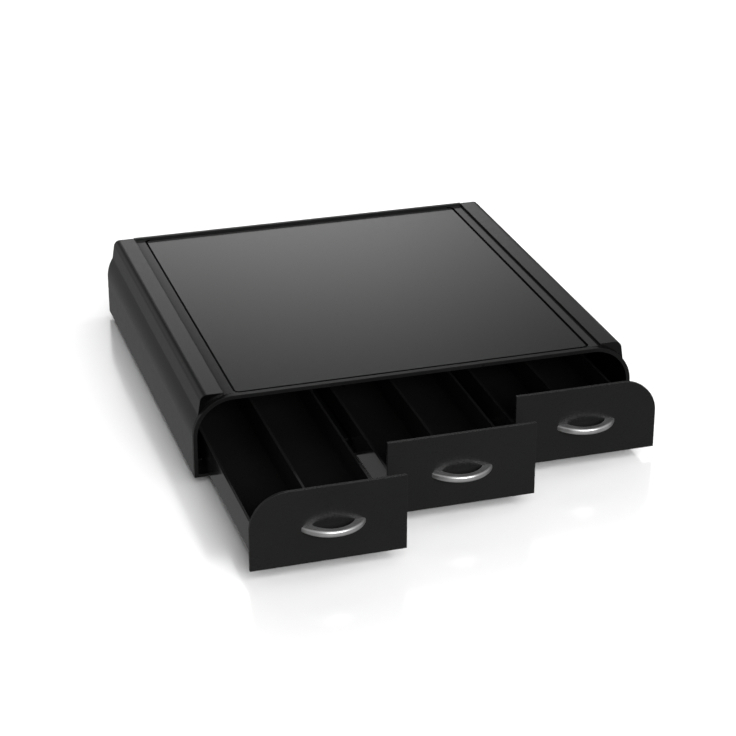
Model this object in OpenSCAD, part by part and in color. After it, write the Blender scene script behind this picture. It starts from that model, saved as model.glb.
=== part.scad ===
// Three-drawer coffee pod organiser: a low arched housing on rubber feet, with a flush top panel
// between two raised rails, and three shallow drawers side by side, each with its own bow handle.
// +X runs to the right, +Y to the back, +Z up. The origin is on the table, under the middle of the
// whole object with its drawers part open. Lengths are millimetres.

/* [Housing] */
// Width over the side walls
body_w = 345; // [320:1:380]
// Depth from the front face to the back face
body_d = 327; // [300:1:360]
// Height of the arch over the base's underside, without the rails
arch_h = 62.6; // [60:0.2:72]
// Radius of the opening's upper corners
arch_r = 28; // [24:0.5:30]
// Thickness of the side walls and of the arch round the opening
wall = 3; // [2.6:0.1:3.4]
// Depth of the front frame
bezel_d = 4; // [3:0.2:6]
// Thickness of the base
base_t = 2.2; // [2:0.1:3]
// Thickness of the back panel
back_t = 3; // [2.4:0.1:5]
// Height of the lip behind the top panel over the arch
lip_rise = 2; // [1:0.2:4]

/* [Top rails and panel] */
// Height of the outer rails over the arch
rail_rise = 1.5; // [0.8:0.1:3]
// Depth below the arch's top at which a rail's outer wall leaves the arch
rail_drop = 14.1; // [12:0.1:16]
// Lean of a rail's outer wall from upright, in degrees
rail_lean = 8.8; // [4:0.2:12]
// Radius of a rail's outer top edge
rail_r = 5.5; // [4:0.5:7]
// Distance of a rail's inner edge from the housing's side
rail_in = 24.3; // [22:0.1:26]
// Wall thickness of a rail
rail_t = 2.2; // [1.8:0.1:2.6]
// Width of the flat strip between a rail and the panel's groove
strip_w = 8.3; // [7:0.1:10]
// Thickness of the deck that carries the panel, over its whole height
deck_t = 4; // [3.6:0.1:6]
// Depth of the deck's recess for the panel
recess_h = 2.4; // [2:0.1:2.6]
// Radius of the recess's corners
recess_r = 5; // [4:0.5:8]
// Thickness of the top panel
panel_t = 2; // [1.6:0.1:2.2]
// Width of the dark groove at the panel's sides
groove_side = 1.9; // [1.2:0.1:3]
// Width of the groove in front of the panel
groove_front = 2.8; // [1.2:0.1:4]
// Width of the groove behind the panel
groove_back = 1.9; // [0.6:0.1:3]

/* [Feet and guides] */
// Height of the rubber feet
foot_h = 4.5; // [3:0.5:8]
// Radius of a foot where it touches the base
foot_r = 9; // [6:0.5:12]
// Distance of a foot's centre from the housing's side and ends
foot_in = 32; // [24:1:50]
// Height of the guides over the base
guide_h = 5.7; // [5.4:0.1:7]
// Thickness of a guide's overhanging lip
guide_lip = 2; // [1.6:0.1:2.2]
// Distance of the guides' front ends behind the front frame
guide_set = 10; // [6:1:30]
// Length of the stop in a guide's channel
stop_len = 4; // [3:0.5:8]

/* [Drawers] */
// How far the left drawer stands open
left_out = 149; // [60:1:200]
// How far the middle drawer stands open
middle_out = 100; // [60:1:200]
// How far the right drawer stands open
right_out = 56; // [40:1:200]
// Full travel of a drawer from shut to its stop
travel = 215; // [202:1:225]
// Thickness of a drawer front
front_t = 2.4; // [2:0.1:3]
// Gap between two neighbouring drawer fronts
front_split = 1.5; // [1:0.1:3]
// Gap at the sides of the opening
front_side_gap = 0.8; // [0.5:0.1:2]
// Gap at the top of the opening
front_top_gap = 0.4; // [0.3:0.1:1]
// Gap between a drawer and the base that it slides over
drawer_lift = 0.3; // [0.3:0.1:0.8]
// Distance of a tray's side wall from its front's side edge
tray_inset = 6.5; // [6:0.1:8]
// Height of a tray over all
tray_h = 23.6; // [20:0.2:30]
// Wall thickness of a tray
tray_t = 1.8; // [1.5:0.1:2.4]
// Thickness of a tray's floor
tray_floor = 2; // [1.6:0.1:3]
// Radius between a tray's floor and its side walls
tray_r = 2.6; // [2:0.2:6]
// Height of a tray's low front wall
tray_front_h = 16; // [12:0.5:18]
// Gap behind a tray when its drawer is shut
rear_gap = 0.5; // [0.4:0.1:2]
// Thickness of the divider between the two rows of pods
divider_t = 1.8; // [1.4:0.1:2.4]
// Depth of the groove that holds the divider
divider_seat = 0.8; // [0.5:0.1:1]

/* [Hold-down tabs] */
// How far a tray's rear tab stands out under the guide's lip
tab_out = 2.4; // [2:0.1:2.8]
// Thickness of a tab
tab_t = 2.2; // [1.6:0.1:2.4]
// Length of a tab
tab_len = 12; // [8:0.5:18]

/* [Handles] */
// Width of a handle over its outer ends
handle_w = 45.5; // [44:0.5:52]
// Width between a handle's inner ends
handle_gap_w = 30.4; // [28:0.2:32]
// How far a handle stands out from its drawer front
handle_out = 13.3; // [12.6:0.1:16]
// Clear depth behind a handle's middle
handle_clear = 9; // [8:0.1:9.6]
// Height of a handle's bar
handle_h = 5; // [4.4:0.1:7]
// Radius of the bar's outer edges
handle_edge = 1.8; // [0.8:0.1:2]
// Height of a handle's middle over the middle of its front
handle_rise = -2; // [-6:0.5:6]
// Sideways place of the left handle from the middle of its front
left_handle_shift = 3.4; // [-4:0.1:4]

/* [Screws] */
// Shank radius of the screws
screw_r = 1; // [0.9:0.05:1.1]
// Radius of the flush heads under the base and in the back
head_r = 1.9; // [1.7:0.1:2]
// Radius of the round heads behind the drawer fronts
pan_r = 2.6; // [2.3:0.1:2.8]
// Height of a screw's head
head_h = 1.2; // [1:0.1:1.4]
// Depth that a screw bites into a handle
handle_bite = 4; // [3:0.2:4.4]
// Depth that a screw bites into a boss at the back
boss_bite = 8; // [5:0.5:12]

/* [Hidden] */

// Colours
shell_black = [0.16, 0.16, 0.17];
gloss_black = [0.09, 0.09, 0.10];
silver = [0.80, 0.81, 0.83];
steel = [0.60, 0.61, 0.63];
rubber_black = [0.05, 0.05, 0.05];

// Facets of round things, and the overrun of cuts
round_fn = 96;
small_fn = 32;
over = 1;

// Bays: side is -1 for the left drawer, 0 for the middle one and 1 for the right one
BAYS = 3;
open_by = [left_out, middle_out, right_out];

// Depth: the object, from the furthest handle to the back, is centred on the origin
reach = max(open_by) + handle_out;
front_y = (reach - body_d) / 2;
back_y = front_y + body_d;
shell_y0 = front_y + bezel_d;
shell_y1 = back_y - back_t;

// Heights over the table
base_z = foot_h;
floor_z = base_z + base_t;
arch_z = base_z + arch_h;
ceiling_z = arch_z - wall;
arc_z = ceiling_z - arch_r;
rail_z = arch_z + rail_rise;
lip_z = arch_z + lip_rise;
deck_z = arch_z - deck_t;
recess_z = arch_z - recess_h;
foot_z = arch_z - rail_drop;

// The corner arc of the arch: its centre from the housing's side, which is also its outer radius
arc_x = wall + arch_r;
half_w = body_w / 2;

// The turned-in lower edge of a foot
foot_edge_h = foot_h / 3;
foot_edge_in = foot_h / 4;

// The rail: where it leaves the arch, and the centre of its outer top edge
foot_x = arc_x - sqrt(arc_x ^ 2 - (foot_z - arc_z) ^ 2);
edge_z = rail_z - rail_r;
edge_x = foot_x + (rail_r + (edge_z - foot_z) * sin(rail_lean)) / cos(rail_lean);
cap_t = 2;

// The ledge on each side that carries the deck, and the clearance of fitted pieces
fit = 0.1;
ledge_w = 4.7;
ledge_t = 2;
ledge_x = rail_in + ledge_w;
ledge_z = arch_z - ledge_t;
recess_x = rail_in + strip_w;
rib_h = 3;
rib_t = 1.6;

// Fronts, trays and the space between trays
opening_w = body_w - 2 * wall;
front_w = (opening_w - 2 * front_side_gap - (BAYS - 1) * front_split) / BAYS;
front_z0 = floor_z + drawer_lift;
front_z1 = ceiling_z - front_top_gap;
front_h = front_z1 - front_z0;
front_r = arch_r - front_side_gap;
tray_w = front_w - 2 * tray_inset;
tray_in = tray_w - 2 * tray_t;
tray_len = body_d - back_t - rear_gap - front_t;
trays_apart = 2 * tray_inset + front_split;
side_space = front_side_gap + tray_inset;
bay_pitch = front_w + front_split;
function bay_x(side) = side * bay_pitch;
function drawer_y(side) = front_y - open_by[side + 1];
function handle_x(side) = side < 0 ? left_handle_shift : 0;

// Guides: a lip stands clear of the tray's wall and over its tab, and the web clear of the tab
lip_gap = 1;
tab_gap = 0.5;
tab_lift = 0.5;
guide_top = floor_z + guide_h;
lip_under = guide_top - guide_lip;
guide_y0 = shell_y0 + guide_set;
guide_y1 = shell_y1 - fit;
web_w = trays_apart - 2 * (tab_out + tab_gap);
lip_w = trays_apart - 2 * lip_gap;
side_web = side_space - tab_out - tab_gap;
side_lip = side_space - lip_gap;
stop_gap = 0.4;
tab_front_shut = front_y + front_t + tray_len - tab_len;
stop_y1 = tab_front_shut - travel - stop_gap;

// Screws: clearances, and places from front to back as shares of the guides' length
bore_gap = 0.05;
hole_gap = 0.2;
tip_gap = 0.4;
bore_floor = 0.8;
screw_shares = [0.08, 0.5, 0.92];
side_screw_share = 0.6;
side_screw_x = half_w - wall - side_screw_share * side_web;
bay_screw_x = bay_pitch / 2;
base_bite = guide_h - bore_floor;
function screw_y(share) = guide_y0 + share * (guide_y1 - guide_y0);

// Bosses in each side that take the back panel's screws: places from the housing's side and the
// table, and the turn of the rib that ties each one to the wall
boss_r = 2.7;
boss_in = 3.6;
boss_len = boss_bite + bore_floor;
boss_arc = arch_r - boss_in;
boss_turn = [0, 36];
boss_at = [
    [wall + boss_in, arc_z - arch_r / 2],
    [arc_x - boss_arc * cos(boss_turn[1]), arc_z + boss_arc * sin(boss_turn[1])]
];

// Pegs on the back of a front that pass through the tray's low front wall
peg_r = 1.8;
peg_x = tray_w / 4;
peg_z = tray_front_h / 2;
peg_len = tray_t - fit;
front_skin = 1;

// Handle: radii of its two arcs, the place of its screws and its height
handle_ro = ((handle_w / 2) ^ 2 + handle_out ^ 2) / (2 * handle_out);
handle_ri = ((handle_gap_w / 2) ^ 2 + handle_clear ^ 2) / (2 * handle_clear);
handle_end = (handle_w - handle_gap_w) / 2;
handle_screw_share = 0.25;
handle_screw_x = handle_gap_w / 2 + handle_screw_share * handle_end;
handle_z = (front_z0 + front_z1) / 2 + handle_rise;

// Extrudes a front view from depth y0 to depth y1
module along_depth(y0, y1)
    translate([0, y1, 0])
        rotate([90, 0, 0])
            linear_extrude(y1 - y0)
                children();

// Repeats a left-hand shape on the right
module both_sides() {
    children();
    mirror([1, 0, 0])
        children();
}

// A rectangle with four round corners, from its lower left corner
module round_rect(size, r) {
    translate([r, 0])
        square([size.x - 2 * r, size.y]);
    translate([0, r])
        square([size.x, size.y - 2 * r]);
    for (x = [r, size.x - r], y = [r, size.y - r])
        translate([x, y])
            circle(r, $fn = small_fn);
}

// Front view of the housing's arch, inset all round by t, standing on height z0
module arch_view(t, z0) {
    translate([t - half_w, z0])
        square([body_w - 2 * t, arc_z - z0]);
    translate([arc_x - half_w, z0])
        square([body_w - 2 * arc_x, arch_z - t - z0]);
    intersection() {
        for (x = [arc_x - half_w, half_w - arc_x])
            translate([x, arc_z])
                circle(arc_x - t, $fn = round_fn);
        translate([-half_w, z0])
            square([body_w, arch_h]);
    }
}

// Front view of the left rail, inset by t: a leaning wall, a round edge and a flat top
module rail_view(t) {
    r = rail_r - t;
    tangent = [edge_x - r * cos(rail_lean), edge_z + r * sin(rail_lean)];
    foot = [tangent.x - (tangent.y - foot_z + t) * tan(rail_lean), foot_z - t];
    translate([-half_w, 0]) {
        polygon([
            foot, tangent, [edge_x, edge_z], [edge_x, rail_z - t],
            [rail_in - t, rail_z - t], [rail_in - t, foot.y]
        ]);
        translate([edge_x, edge_z])
            circle(r, $fn = small_fn);
    }
}

// Front view of the left side's outer form: lower wall, shoulder, rail and the ledge for the deck
module side_view() {
    intersection() {
        arch_view(0, base_z);
        translate([-half_w, base_z]) {
            square([rail_in, arch_h]);
            square([ledge_x, ledge_z - base_z]);
        }
    }
    rail_view(0);
}

// Front view of the bosses with the ribs that tie them to the wall
module boss_view()
    for (i = [0, 1])
        translate(boss_at[i] - [half_w, 0])
            rotate(180 - boss_turn[i]) {
                circle(boss_r, $fn = small_fn);
                translate([0, -boss_r / 2])
                    square([boss_in + wall / 2, boss_r]);
            }

// A screw that points up from height 0, with a countersunk head
module screw(length) {
    cylinder(h = head_h, r1 = head_r, r2 = screw_r, $fn = small_fn);
    cylinder(h = length, r = screw_r, $fn = small_fn);
}

// The hole for that screw through a panel of thickness t
module screw_hole(t) {
    translate([0, 0, -over])
        cylinder(h = t + 2 * over, r = screw_r + hole_gap, $fn = small_fn);
    cylinder(h = head_h, r1 = head_r + hole_gap, r2 = screw_r + hole_gap, $fn = small_fn);
    translate([0, 0, -over])
        cylinder(h = over, r = head_r + hole_gap, $fn = small_fn);
}

// Places children at every screw under the base
module at_base_screws()
    for (x = [-side_screw_x, -bay_screw_x, bay_screw_x, side_screw_x], share = screw_shares)
        translate([x, screw_y(share), base_z])
            children();

// Places children at every screw of the back panel, pointing forward
module at_back_screws()
    both_sides()
        for (place = boss_at)
            translate([place.x - half_w, back_y, place.y])
                rotate([90, 0, 0])
                    children();

// Flat floor of the housing
module base_panel()
    color(shell_black)
        difference() {
            translate([wall + fit - half_w, shell_y0, base_z])
                cube([opening_w - 2 * fit, shell_y1 - shell_y0, base_t]);
            at_base_screws()
                screw_hole(base_t);
        }

// One moulded side: thin walls that follow the outer form, closed ends on the rail,
// a guide along the floor and bosses at the back
module side_moulding() {
    difference() {
        along_depth(shell_y0, back_y)
            side_view();
        along_depth(shell_y0 - over, back_y + over)
            arch_view(wall, base_z - over);
        along_depth(shell_y0 + cap_t, back_y - cap_t)
            rail_view(rail_t);
    }
    difference() {
        union() {
            translate([wall - half_w, guide_y0, floor_z])
                cube([side_web, guide_y1 - guide_y0, guide_h]);
            translate([wall - half_w, guide_y0, lip_under])
                cube([side_lip, guide_y1 - guide_y0, guide_lip]);
            translate([wall - half_w, stop_y1 - stop_len, floor_z])
                cube([side_lip, stop_len, guide_h]);
        }
        for (share = screw_shares)
            translate([-side_screw_x, screw_y(share), floor_z - over])
                cylinder(h = over + base_bite, r = screw_r + bore_gap, $fn = small_fn);
    }
    difference() {
        along_depth(shell_y1 - boss_len, shell_y1)
            boss_view();
        along_depth(shell_y1 - boss_bite, shell_y1 + over)
            for (place = boss_at)
                translate(place - [half_w, 0])
                    circle(screw_r + bore_gap, $fn = small_fn);
    }
}

module left_side()
    color(shell_black)
        side_moulding();

module right_side()
    color(shell_black)
        mirror([1, 0, 0])
            side_moulding();

// Deck between the rails, with the recess for the panel and ribs underneath
module top_deck()
    color(shell_black)
        difference() {
            along_depth(shell_y0, shell_y1) {
                translate([ledge_x + fit - half_w, deck_z])
                    square([body_w - 2 * (ledge_x + fit), deck_t]);
                translate([rail_in + fit - half_w, ledge_z])
                    square([body_w - 2 * (rail_in + fit), ledge_t]);
                for (x = [-bay_pitch : bay_pitch / 2 : bay_pitch])
                    translate([x - rib_t / 2, deck_z - rib_h])
                        square([rib_t, rib_h]);
            }
            translate([recess_x - half_w, shell_y0, recess_z])
                linear_extrude(recess_h + over)
                    round_rect([body_w - 2 * recess_x, shell_y1 - shell_y0], recess_r);
        }

// Flush panel in the deck's recess
module top_panel()
    color(shell_black)
        translate([recess_x + groove_side - half_w, shell_y0 + groove_front, recess_z])
            linear_extrude(panel_t)
                round_rect([
                    body_w - 2 * (recess_x + groove_side),
                    shell_y1 - shell_y0 - groove_front - groove_back
                ], recess_r - groove_side);

// Thin frame round the opening
module front_bezel()
    color(shell_black)
        along_depth(front_y, shell_y0)
            difference() {
                arch_view(0, base_z);
                arch_view(wall, floor_z);
            }

// Back wall, whose upper edge stands as a lip behind the panel
module back_panel()
    color(shell_black)
        difference() {
            along_depth(shell_y1, back_y) {
                arch_view(wall + fit, base_z);
                translate([ledge_x + fit - half_w, arc_z])
                    square([body_w - 2 * (ledge_x + fit), arch_z - arc_z]);
                translate([rail_in + fit - half_w, ledge_z + fit])
                    square([body_w - 2 * (rail_in + fit), lip_z - ledge_z - fit]);
            }
            at_back_screws()
                screw_hole(back_t);
        }

// Guide between two bays: a web with a lip to each side, and a stop under each lip
module bay_guide(x)
    color(shell_black)
        translate([x, 0, 0])
            difference() {
                union() {
                    translate([-web_w / 2, guide_y0, floor_z])
                        cube([web_w, guide_y1 - guide_y0, guide_h]);
                    translate([-lip_w / 2, guide_y0, lip_under])
                        cube([lip_w, guide_y1 - guide_y0, guide_lip]);
                    translate([-lip_w / 2, stop_y1 - stop_len, floor_z])
                        cube([lip_w, stop_len, guide_h]);
                }
                for (share = screw_shares)
                    translate([0, screw_y(share), floor_z - over])
                        cylinder(h = over + base_bite, r = screw_r + bore_gap, $fn = small_fn);
            }

module left_bay_guide()
    bay_guide(-bay_screw_x);

module right_bay_guide()
    bay_guide(bay_screw_x);

// Four stick-on feet with a turned-in edge
module rubber_feet()
    color(rubber_black)
        for (x = [foot_in - half_w, half_w - foot_in], y = [front_y + foot_in, back_y - foot_in])
            translate([x, y, 0]) {
                cylinder(h = foot_edge_h, r1 = foot_r - foot_edge_in, r2 = foot_r, $fn = round_fn);
                translate([0, 0, foot_edge_h])
                    cylinder(h = foot_h - foot_edge_h, r = foot_r, $fn = round_fn);
            }

// Screws that hold the sides and the guides to the base
module base_screws()
    color(steel)
        at_base_screws()
            screw(base_t + base_bite - tip_gap);

// Screws that hold the back panel to the sides
module back_screws()
    color(steel)
        at_back_screws()
            screw(back_t + boss_bite - tip_gap);

// Moves a piece drawn at a bay's closed front to where its drawer stands
module in_bay(side)
    translate([bay_x(side), drawer_y(side), 0])
        children();

// Shallow open tray with a low front wall, a seat for the divider and two hold-down tabs
module tray(side)
    color(gloss_black)
        in_bay(side)
            translate([0, front_t, front_z0]) {
                difference() {
                    translate([-tray_w / 2, 0, 0])
                        cube([tray_w, tray_len, tray_h]);
                    along_depth(tray_t, tray_len - tray_t)
                        translate([-tray_in / 2, tray_floor])
                            round_rect([tray_in, 2 * tray_h], tray_r);
                    translate([-tray_in / 2, -over, tray_front_h])
                        cube([tray_in, tray_t + 2 * over, tray_h]);
                    translate([-divider_t / 2 - fit, tray_t, tray_floor - divider_seat])
                        cube([divider_t + 2 * fit, tray_len - 2 * tray_t, tray_h]);
                    for (x = [-peg_x, peg_x])
                        translate([x, tray_t + over, peg_z])
                            rotate([90, 0, 0])
                                cylinder(h = tray_t + 2 * over, r = peg_r + fit, $fn = small_fn);
                }
                both_sides()
                    translate([tray_w / 2 - tray_t / 2, tray_len - tab_len, tab_lift])
                        cube([tray_t / 2 + tab_out, tab_len, tab_t]);
            }

// Thin upright wall between the two rows of pods
module divider(side)
    color(gloss_black)
        in_bay(side)
            translate([-divider_t / 2, front_t + tray_t + fit, front_z0 + tray_floor - divider_seat])
                cube([divider_t, tray_len - 2 * (tray_t + fit), tray_h - tray_floor + divider_seat]);

// Outline of a drawer front, whose outer top corner follows the arch in the outer bays
module front_view(side)
    translate([0, front_z0])
        if (side == 0)
            translate([-front_w / 2, 0])
                square([front_w, front_h]);
        else
            intersection() {
                translate([-front_w / 2, 0])
                    square([front_w, front_h]);
                union() {
                    translate([-side * front_r - front_w / 2, 0])
                        square([front_w, front_h]);
                    translate([-front_w / 2, 0])
                        square([front_w, front_h - front_r]);
                    translate([side * (front_w / 2 - front_r), front_h - front_r])
                        circle(front_r, $fn = round_fn);
                }
            }

// Flat drawer front with holes for the handle's screws and two pegs behind
module drawer_front(side)
    color(gloss_black)
        in_bay(side)
            difference() {
                union() {
                    along_depth(0, front_t)
                        front_view(side);
                    for (x = [-peg_x, peg_x])
                        translate([x, front_t + peg_len, front_z0 + peg_z])
                            rotate([90, 0, 0])
                                cylinder(h = peg_len + front_t / 2, r = peg_r, $fn = small_fn);
                }
                for (x = [-peg_x, peg_x])
                    translate([x, front_t + peg_len + over, front_z0 + peg_z])
                        rotate([90, 0, 0])
                            cylinder(h = peg_len + front_t - front_skin + over, r = screw_r + bore_gap,
                                     $fn = small_fn);
                for (x = [-handle_screw_x, handle_screw_x])
                    translate([x + handle_x(side), front_t + over, handle_z])
                        rotate([90, 0, 0])
                            cylinder(h = front_t + 2 * over, r = screw_r + hole_gap, $fn = small_fn);
            }

// A flat disc with round upper and lower edges
module round_disc(r, h, edge)
    rotate_extrude($fn = round_fn) {
        square([r - edge, h]);
        translate([0, edge])
            square([r, h - 2 * edge]);
        for (z = [edge, h - edge])
            translate([r - edge, z])
                circle(edge, $fn = small_fn);
    }

// Bow handle: a round-edged disc, cleared behind by a smaller circle and cut flat at the front
module handle(side)
    color(silver)
        in_bay(side)
            translate([handle_x(side), 0, handle_z - handle_h / 2])
                difference() {
                    translate([0, handle_ro - handle_out, 0])
                        round_disc(handle_ro, handle_h, handle_edge);
                    translate([0, handle_ri - handle_clear, -over])
                        cylinder(h = handle_h + 2 * over, r = handle_ri, $fn = round_fn);
                    translate([-handle_w, 0, -over])
                        cube([2 * handle_w, 2 * handle_ro, handle_h + 2 * over]);
                    for (x = [-handle_screw_x, handle_screw_x])
                        translate([x, over, handle_h / 2])
                            rotate([90, 0, 0])
                                cylinder(h = handle_bite + over, r = screw_r + bore_gap, $fn = small_fn);
                }

// Screws behind a front: two into the handle, two through the tray's front wall into the pegs
module front_screws(side)
    color(steel)
        in_bay(side) {
            for (x = [-handle_screw_x, handle_screw_x])
                translate([x + handle_x(side), front_t, handle_z])
                    pan_screw(front_t + handle_bite - tip_gap);
            for (x = [-peg_x, peg_x])
                translate([x, front_t + tray_t, front_z0 + peg_z])
                    pan_screw(front_t + tray_t - front_skin - tip_gap);
        }

// A round-headed screw that points forward from depth 0, its head behind
module pan_screw(length) {
    rotate([90, 0, 0])
        cylinder(h = length, r = screw_r, $fn = small_fn);
    rotate([-90, 0, 0])
        cylinder(h = head_h, r = pan_r, $fn = small_fn);
}

module left_tray()
    tray(-1);

module left_divider()
    divider(-1);

module left_front()
    drawer_front(-1);

module left_handle()
    handle(-1);

module left_front_screws()
    front_screws(-1);

module middle_tray()
    tray(0);

module middle_divider()
    divider(0);

module middle_front()
    drawer_front(0);

module middle_handle()
    handle(0);

module middle_front_screws()
    front_screws(0);

module right_tray()
    tray(1);

module right_divider()
    divider(1);

module right_front()
    drawer_front(1);

module right_handle()
    handle(1);

module right_front_screws()
    front_screws(1);

base_panel();
left_side();
right_side();
top_deck();
top_panel();
front_bezel();
back_panel();
left_bay_guide();
right_bay_guide();
rubber_feet();
base_screws();
back_screws();
left_tray();
left_divider();
left_front();
left_handle();
left_front_screws();
middle_tray();
middle_divider();
middle_front();
middle_handle();
middle_front_screws();
right_tray();
right_divider();
right_front();
right_handle();
right_front_screws();
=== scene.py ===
import math

import bpy
from mathutils import Matrix, Vector

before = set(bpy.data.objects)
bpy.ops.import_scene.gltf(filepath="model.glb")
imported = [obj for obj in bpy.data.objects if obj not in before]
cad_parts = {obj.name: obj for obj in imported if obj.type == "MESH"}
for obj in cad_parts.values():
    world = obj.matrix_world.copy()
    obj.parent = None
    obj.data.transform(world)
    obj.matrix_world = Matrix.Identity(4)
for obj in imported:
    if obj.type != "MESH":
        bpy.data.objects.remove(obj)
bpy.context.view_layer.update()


# The camera stands in front of the organiser and a little to its left, at a seated person's eye
# height, and looks down at the open drawers through a long lens.
EYE = Vector((-0.4649, -1.4552, 0.7377))
TURN, TILT, ROLL = (math.radians(angle) for angle in (-17.23, 24.74, 0.025))
SENSOR_WIDTH, LENS = 36.0, 104.87
FARTHEST_SEEN = 50.0

back = Vector((math.sin(TURN) * math.cos(TILT), -math.cos(TURN) * math.cos(TILT), math.sin(TILT)))
level = Vector((math.cos(TURN), math.sin(TURN), 0.0))
rise = back.cross(level)
right = level * math.cos(ROLL) + rise * math.sin(ROLL)
up = rise * math.cos(ROLL) - level * math.sin(ROLL)

camera = bpy.data.objects.new("camera", bpy.data.cameras.new("camera"))
camera.data.sensor_width = SENSOR_WIDTH
camera.data.lens = LENS
camera.data.clip_end = FARTHEST_SEEN
camera.matrix_world = Matrix.Translation(EYE) @ Matrix((right, up, back)).transposed().to_4x4()
bpy.context.scene.collection.objects.link(camera)
bpy.context.scene.camera = camera
bpy.context.scene.view_settings.view_transform = "Standard"


# The table is a large flat board on which the rubber feet stand. Its white lacquer is polished
# enough to show a faint image of the organiser. Black plastic mirrors it as a dim, even grey.
TABLE_HALF = 6.0
LACQUER_WHITE, LACQUER_GLOW = 0.95, 0.20
POLISH_SHARE, POLISH_ROUGHNESS = 0.20, 0.15
PEEL_SCALE, PEEL_STRENGTH, PEEL_DEPTH = 60.0, 0.02, 0.0002


def new_material(name):
    """A material with an empty node tree and its output node."""
    material = bpy.data.materials.new(name)
    material.use_nodes = True
    material.node_tree.nodes.clear()
    return material, material.node_tree.nodes.new("ShaderNodeOutputMaterial")


def add_node(tree, kind, links=None, **sockets):
    """Adds a shader node, sets its input sockets by name and links others to outputs."""
    made = tree.nodes.new("ShaderNode" + kind)
    for name, value in sockets.items():
        made.inputs[name.replace("_", " ")].default_value = value
    for name, output in (links or {}).items():
        tree.links.new(output, made.inputs[name])
    return made


lacquer, lacquer_out = new_material("white_table_lacquer")
tree = lacquer.node_tree
place = add_node(tree, "TexCoord").outputs["Object"]
orange_peel = add_node(tree, "TexNoise", {"Vector": place}, Scale=PEEL_SCALE, Detail=2.0)
waves = add_node(tree, "Bump", {"Height": orange_peel.outputs["Fac"]},
                 Strength=PEEL_STRENGTH, Distance=PEEL_DEPTH)
paint = add_node(tree, "BsdfDiffuse", {"Normal": waves.outputs["Normal"]},
                 Color=(LACQUER_WHITE, LACQUER_WHITE, LACQUER_WHITE, 1.0))
polish = add_node(tree, "BsdfAnisotropic", {"Normal": waves.outputs["Normal"]},
                  Color=(1.0, 1.0, 1.0, 1.0), Roughness=POLISH_ROUGHNESS)
coat = add_node(tree, "MixShader", {1: paint.outputs[0], 2: polish.outputs[0]}, Fac=POLISH_SHARE)
glow = add_node(tree, "Emission", Strength=LACQUER_GLOW)
seen = add_node(tree, "LightPath").outputs["Is Camera Ray"]
surface = add_node(tree, "MixShader", {0: seen, 1: glow.outputs[0], 2: coat.outputs[0]})
tree.links.new(surface.outputs[0], lacquer_out.inputs["Surface"])

table_mesh = bpy.data.meshes.new("table")
table_mesh.from_pydata(
    [(-TABLE_HALF, -TABLE_HALF, 0), (TABLE_HALF, -TABLE_HALF, 0),
     (TABLE_HALF, TABLE_HALF, 0), (-TABLE_HALF, TABLE_HALF, 0)], [], [(0, 1, 2, 3)])
table_mesh.materials.append(lacquer)
table = bpy.data.objects.new("table", table_mesh)
bpy.context.scene.collection.objects.link(table)


# The room is a dim studio with pale walls to the sides and behind the camera. Beyond the table
# hangs a broad lit screen, which fades upwards and sideways and which level black plastic mirrors.
# The camera itself sees white paper all round.
SCREEN_LIGHT, ROOM_LIGHT, WALL_LIGHT = 1.75, 0.05, 0.32
# Brightness by a direction's height, 1 straight up, and by its side, from 0, left, to 1, right
SCREEN_BY_HEIGHT = [(0.10, 0.0), (0.22, 0.5), (0.32, 1.0), (0.345, 1.0), (0.359, 0.77),
                    (0.373, 0.58), (0.388, 0.38), (0.405, 0.23), (0.424, 0.14), (0.45, 0.09),
                    (0.50, 0.05), (0.60, 0.02)]
SCREEN_BY_SIDE = [(0.40, 0.02), (0.45, 0.12), (0.50, 0.3), (0.56, 0.62), (0.59, 0.84),
                  (0.6175, 1.0), (0.64, 0.95), (0.655, 0.77), (0.6785, 0.44), (0.71, 0.22),
                  (0.75, 0.05), (0.78, 0.5), (0.84, 0.2)]
WALLS_BY_SIDE = [(0.32, 1.0), (0.44, 0.0), (0.72, 0.0), (0.84, 0.9)]
# A direction's depth, 1 straight ahead, where screen and walls start and where they are in full
SCREEN_START, SCREEN_FULL = 0.2, 0.6
WALLS_START, WALLS_FULL = 0.2, -0.2


def fade(tree, value, stops):
    """A grey that follows a value through (value, grey) stops in rising order."""
    ramp = add_node(tree, "ValToRGB", {"Fac": value})
    elements = ramp.color_ramp.elements
    elements.remove(elements[1])
    for index, (position, grey) in enumerate(stops):
        stop = elements.new(position) if index else elements[0]
        stop.position, stop.color = position, (grey, grey, grey, 1.0)
    return ramp.outputs["Color"]


def work_out(tree, operation, *values):
    """The result of a sum, such as the product of two values."""
    result = add_node(tree, "Math", dict(enumerate(values)))
    result.operation = operation
    return result.outputs[0]


world = bpy.data.worlds.new("studio")
bpy.context.scene.world = world
world.use_nodes = True
tree = world.node_tree
tree.nodes.clear()
towards = add_node(tree, "TexCoord").outputs["Generated"]
direction = add_node(tree, "SeparateXYZ", {"Vector": towards}).outputs
sideways = add_node(tree, "MapRange", {"Value": direction["X"]}, From_Min=-1.0).outputs["Result"]
ahead = add_node(tree, "MapRange", {"Value": direction["Y"]},
                 From_Min=SCREEN_START, From_Max=SCREEN_FULL).outputs["Result"]
behind = add_node(tree, "MapRange", {"Value": direction["Y"]},
                  From_Min=WALLS_START, From_Max=WALLS_FULL).outputs["Result"]

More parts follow.
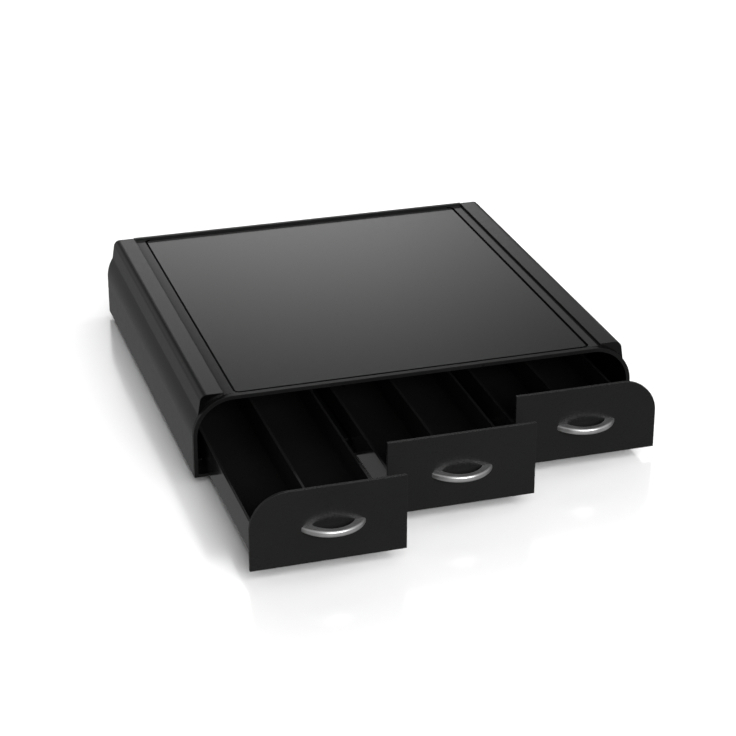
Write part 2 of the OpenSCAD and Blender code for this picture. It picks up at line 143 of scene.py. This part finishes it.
patch = work_out(tree, "MULTIPLY", fade(tree, direction["Z"], SCREEN_BY_HEIGHT),
                 fade(tree, sideways, SCREEN_BY_SIDE))
screen = add_node(tree, "Background", {"Color": work_out(tree, "MULTIPLY", patch, ahead)},
                  Strength=SCREEN_LIGHT)
walls = work_out(tree, "MAXIMUM", fade(tree, sideways, WALLS_BY_SIDE), behind)
wall_light = add_node(tree, "MapRange", {"Value": walls}, To_Min=ROOM_LIGHT, To_Max=WALL_LIGHT)
room = add_node(tree, "Background", {"Color": wall_light.outputs["Result"]})
studio = add_node(tree, "AddShader", {0: screen.outputs[0], 1: room.outputs[0]})
paper = add_node(tree, "Background", Color=(1.0, 1.0, 1.0, 1.0))
seen = add_node(tree, "LightPath").outputs["Is Camera Ray"]
backdrop = add_node(tree, "MixShader", {0: seen, 1: studio.outputs[0], 2: paper.outputs[0]})
tree.links.new(backdrop.outputs[0], tree.nodes.new("ShaderNodeOutputWorld").inputs["Surface"])


# A softbox stands beyond the camera, to its right, and lights fronts, handles and table. A flap
# keeps its light off the housing's sides and top.
SOFTBOX_WIDTH, SOFTBOX_HEIGHT, SOFTBOX_BRIGHTNESS = 1.6, 1.0, 8.0
SOFTBOX_PLACE, SOFTBOX_AIM = Vector((0.3, -2.3, 0.9)), Vector((0.0, -0.15, 0.0))
SHADED_BY_FLAP = ("top_panel", "top_deck", "left_side", "right_side")

lamp = bpy.data.lights.new("front_softbox", "AREA")
lamp.shape = "RECTANGLE"
lamp.size, lamp.size_y = SOFTBOX_WIDTH, SOFTBOX_HEIGHT
lamp.energy = SOFTBOX_BRIGHTNESS * math.pi * SOFTBOX_WIDTH * SOFTBOX_HEIGHT
front_softbox = bpy.data.objects.new("front_softbox", lamp)
front_softbox.location = SOFTBOX_PLACE
front_softbox.rotation_euler = (SOFTBOX_PLACE - SOFTBOX_AIM).to_track_quat("Z", "Y").to_euler()
bpy.context.scene.collection.objects.link(front_softbox)

lit_in_front = bpy.data.collections.new("lit_by_front_softbox")
lit_in_front.objects.link(table)
for name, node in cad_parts.items():
    if name not in SHADED_BY_FLAP:
        lit_in_front.objects.link(node)
front_softbox.light_linking.receiver_collection = lit_in_front


# Two broad lights whiten the table and shade it softly beside the organiser. One stands in front
# and to the right, one far behind it, where the lacquer mirrors it. They light nothing else.
TABLE_LIGHTS = [  # name, strength, spread in degrees, and direction in which it stands
    ("table_front_light", 3.3, 110.0, (0.60, -0.50, 0.60)),
    ("table_far_light", 1.0, 60.0, (0.27, 0.87, 0.42))]

table_only = bpy.data.collections.new("lit_by_table_lights")
table_only.objects.link(table)
for name, strength, spread, side in TABLE_LIGHTS:
    lamp = bpy.data.lights.new(name, "SUN")
    lamp.energy = strength
    lamp.angle = math.radians(spread)
    table_light = bpy.data.objects.new(name, lamp)
    table_light.rotation_euler = Vector(side).to_track_quat("Z", "Y").to_euler()
    table_light.light_linking.receiver_collection = table_only
    bpy.context.scene.collection.objects.link(table_light)


# Sides and rails: each side is one thin black moulding with a satin grain. It carries the raised
# rail on top, the ledge for the deck and the outer drawer guide, and is screwed to the base.
GRAIN_SCALE, GRAIN_DEPTH = 2600.0, 0.00004
FLOW_SCALE, SCUFF_SCALE = 14.0, 240.0
# The stretch in which most of a noise pattern lies, and shares of the grey and of the roughness
NOISE_LOW, NOISE_HIGH = 0.3, 0.7
FLOW_RANGE, SCUFF_RANGE = (0.92, 1.08), (0.90, 1.12)
# Edges are painted paler as the rounded surface turns away from the face, partly as wear and
# partly as a painted highlight: cosines of start and end
SHEEN_AND_WEAR_START, SHEEN_AND_WEAR_FULL = 0.98, 0.80
ROUNDING_SAMPLES = 6


def dress(material, *nodes):
    """Gives each of these CAD nodes the material in every slot."""
    for name in nodes:
        for material_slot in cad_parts[name].material_slots:
            material_slot.material = material


def vary(tree, noise, value, shares):
    """The value times a share that follows the noise pattern from the lowest to the highest."""
    lowest, highest = shares
    return add_node(tree, "MapRange", {"Value": noise.outputs["Fac"]},
                    From_Min=NOISE_LOW, From_Max=NOISE_HIGH,
                    To_Min=value * lowest, To_Max=value * highest).outputs["Result"]


def moulded_plastic(name, grey, roughness, shine, grain, edge, edge_wear_and_sheen=1.8):
    """Black moulded plastic: soft moulded edges, fine grain, uneven polish and paler edges, partly
    wear and partly a painted highlight, whose grey is that of the faces times the last argument."""
    material, out = new_material(name)
    tree = material.node_tree
    place = add_node(tree, "TexCoord").outputs["Object"]
    soft_edge = add_node(tree, "Bevel", Radius=edge)
    soft_edge.samples = ROUNDING_SAMPLES
    rounded = soft_edge.outputs["Normal"]
    face = add_node(tree, "NewGeometry").outputs["True Normal"]
    turn = add_node(tree, "VectorMath", {0: rounded, 1: face})
    turn.operation = "DOT_PRODUCT"
    # Mask of the rounded edges, which are painted paler: a painted highlight along them, with some
    # wear.
    wear_and_sheen_edge = add_node(tree, "MapRange", {"Value": turn.outputs["Value"]},
                      From_Min=SHEEN_AND_WEAR_START, From_Max=SHEEN_AND_WEAR_FULL)
    sparks = add_node(tree, "TexNoise", {"Vector": place},
                      Scale=GRAIN_SCALE, Detail=2.0, Roughness=0.6)
    flow = add_node(tree, "TexNoise", {"Vector": place}, Scale=FLOW_SCALE, Detail=3.0)
    scuffs = add_node(tree, "TexNoise", {"Vector": place},
                      Scale=SCUFF_SCALE, Detail=5.0, Distortion=0.6)
    tone = vary(tree, flow, grey, FLOW_RANGE)
    pale = add_node(tree, "MapRange", {"Value": wear_and_sheen_edge.outputs["Result"], "To Min": tone},
                    To_Max=grey * edge_wear_and_sheen)
    bump = add_node(tree, "Bump", {"Height": sparks.outputs["Fac"], "Normal": rounded},
                    Strength=grain, Distance=GRAIN_DEPTH)
    skin = add_node(tree, "BsdfPrincipled",
                    {"Base Color": pale.outputs["Result"],
                     "Roughness": vary(tree, scuffs, roughness, SCUFF_RANGE),
                     "Normal": bump.outputs["Normal"]},
                    IOR=1.5, Specular_IOR_Level=shine)
    tree.links.new(skin.outputs[0], out.inputs["Surface"])
    return material


dress(moulded_plastic("satin_black_side", grey=0.006, roughness=0.22, shine=0.5,
                      grain=0.04, edge=0.0005),
      "left_side", "right_side")


# Deck: one black moulding that lies on the sides' ledges between the rails, with a shallow recess
# for the top panel and stiffening ribs below. The strips beside the panel fall to the rails.
STRIP_INNER, STRIP_OUTER, STRIP_FALL = 0.1400, 0.1482, 0.0006

deck_plastic = moulded_plastic("satin_black_deck", grey=0.006, roughness=0.18, shine=0.44,
                               grain=0.04, edge=0.0004)
tree = deck_plastic.node_tree
place = tree.nodes["Texture Coordinate"].outputs["Object"]
across = add_node(tree, "SeparateXYZ", {"Vector": place}).outputs["X"]
share = add_node(tree, "MapRange", {"Value": work_out(tree, "ABSOLUTE", across)},
                 From_Min=STRIP_OUTER, From_Max=STRIP_INNER).outputs["Result"]
hollow = add_node(tree, "Bump", {"Height": work_out(tree, "SQRT", share),
                                 "Normal": tree.nodes["Bevel"].outputs["Normal"]},
                  Strength=1.0, Distance=STRIP_FALL)
tree.links.new(hollow.outputs["Normal"], tree.nodes["Bump"].inputs["Normal"])
dress(deck_plastic, "top_deck")


# Front frame: a thin black plastic arch round the drawers' opening, duller than the rest. It is
# glued to the front edges of deck, sides and base.
dress(moulded_plastic("satin_black_frame", grey=0.008, roughness=0.30, shine=0.25,
                      grain=0.06, edge=0.0004),
      "front_bezel")


# Top panel: a smooth black plastic sheet on which a coffee machine stands. It is laid into the
# deck's recess and leaves a thin dark groove all round.
dress(moulded_plastic("smooth_black_sheet", grey=0.006, roughness=0.15, shine=0.5,
                      grain=0.02, edge=0.0003),
      "top_panel")


# Back: a plain black moulded wall with a coarser grain, because it is seldom seen. Four screws
# hold it to the sides.
dress(moulded_plastic("satin_black_back", grey=0.007, roughness=0.34, shine=0.5,
                      grain=0.25, edge=0.0005),
      "back_panel")


# Base and guides: the base is a plain moulded plate under the drawers. The guides, screwed on
# from below, keep each tray straight and hold its rear tabs down.
dress(moulded_plastic("plain_black_base", grey=0.010, roughness=0.42, shine=0.4,
                      grain=0.4, edge=0.0004),
      "base_panel", "left_bay_guide", "right_bay_guide")


# Feet: four round pads of dull black rubber. They are stuck on under the corners of the base and
# keep it from sliding.
dress(moulded_plastic("black_rubber", grey=0.02, roughness=0.75, shine=0.3,
                      grain=0.8, edge=0.0005),
      "rubber_feet")


# Drawer trays and dividers: thin polished black plastic. Each divider stands in a groove in its
# tray's floor and end walls and parts the two rows of pods.
BAYS = ("left", "middle", "right")

# The trays' edges are painted five times paler than their faces: a painted highlight along the
# wall tops, with a little wear.
tray_gloss = moulded_plastic("polished_black_tray", grey=0.018, roughness=0.14, shine=0.40,
                             grain=0.04, edge=0.0003, edge_wear_and_sheen=5.0)
for bay in BAYS:
    dress(tray_gloss, bay + "_tray", bay + "_divider")


# Drawer fronts: flat black plastic plates, the outer two with one large round corner. Each is
# screwed to the low front wall of its tray.
# The fronts' edges are painted three times paler than their faces: a painted highlight along the
# top edges, with a little wear.
front_gloss = moulded_plastic("polished_black_front", grey=0.014, roughness=0.28, shine=0.20,
                              grain=0.04, edge=0.0004, edge_wear_and_sheen=3.0)
for bay in BAYS:
    dress(front_gloss, bay + "_front")


# Handles: cast bows with a satin silver finish. Two screws hold each one, from behind, through its
# drawer front.
FLAKE_SCALE, FLAKE_DEPTH, CLOUD_SCALE = 3200.0, 0.00003, 90.0
SILVER_RANGE, SATIN_RANGE = (0.97, 1.03), (0.85, 1.15)


def satin_metal(name, grey, roughness, grain):
    """Bare or plated metal with fine flakes, and a finish that is a little uneven."""
    material, out = new_material(name)
    tree = material.node_tree
    place = add_node(tree, "TexCoord").outputs["Object"]
    flakes = add_node(tree, "TexNoise", {"Vector": place}, Scale=FLAKE_SCALE, Detail=2.0)
    cloud = add_node(tree, "TexNoise", {"Vector": place}, Scale=CLOUD_SCALE, Detail=3.0)
    bump = add_node(tree, "Bump", {"Height": flakes.outputs["Fac"]},
                    Strength=grain, Distance=FLAKE_DEPTH)
    skin = add_node(tree, "BsdfPrincipled",
                    {"Base Color": vary(tree, cloud, grey, SILVER_RANGE),
                     "Roughness": vary(tree, cloud, roughness, SATIN_RANGE),
                     "Normal": bump.outputs["Normal"]}, Metallic=1.0)
    tree.links.new(skin.outputs[0], out.inputs["Surface"])
    return material


handle_silver = satin_metal("satin_silver_handle", grey=0.80, roughness=0.42, grain=0.12)
for bay in BAYS:
    dress(handle_silver, bay + "_handle")


# Screws: zinc-plated steel. They are countersunk under the base and in the back, and pan-headed
# behind the drawer fronts, where they hold handle and tray.
screw_steel = satin_metal("zinc_plated_screw", grey=0.55, roughness=0.35, grain=0.12)
dress(screw_steel, "base_screws", "back_screws", *(bay + "_front_screws" for bay in BAYS))
